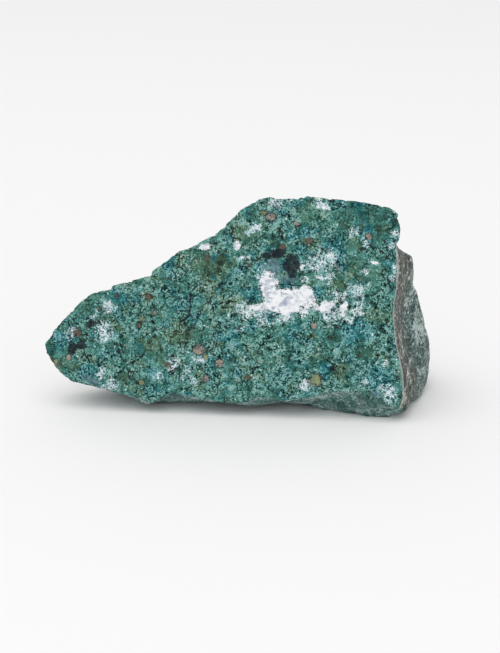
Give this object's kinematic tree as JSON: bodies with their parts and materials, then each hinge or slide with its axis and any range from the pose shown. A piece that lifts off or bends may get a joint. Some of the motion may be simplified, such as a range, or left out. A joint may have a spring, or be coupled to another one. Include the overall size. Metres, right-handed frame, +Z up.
{
  "type": "moss agate stone",
  "caption": "Rough wedge of green moss agate with one flat sawn face, a hollow broken side and a lumpy back, standing on low feet.",
  "frame": {"origin": "middle of the stone's bounding box, at the level of the feet", "axes": "+X along the length, from the pointed end to the tall end; +Y from the sawn face to the back; +Z up"},
  "size_m": [0.0614, 0.0228, 0.0343],
  "materials": {
    "moss_agate": "matte"
  },
  "bodies": {
    "root": {"stone": "moss_agate"}
  },
  "joints": []
}
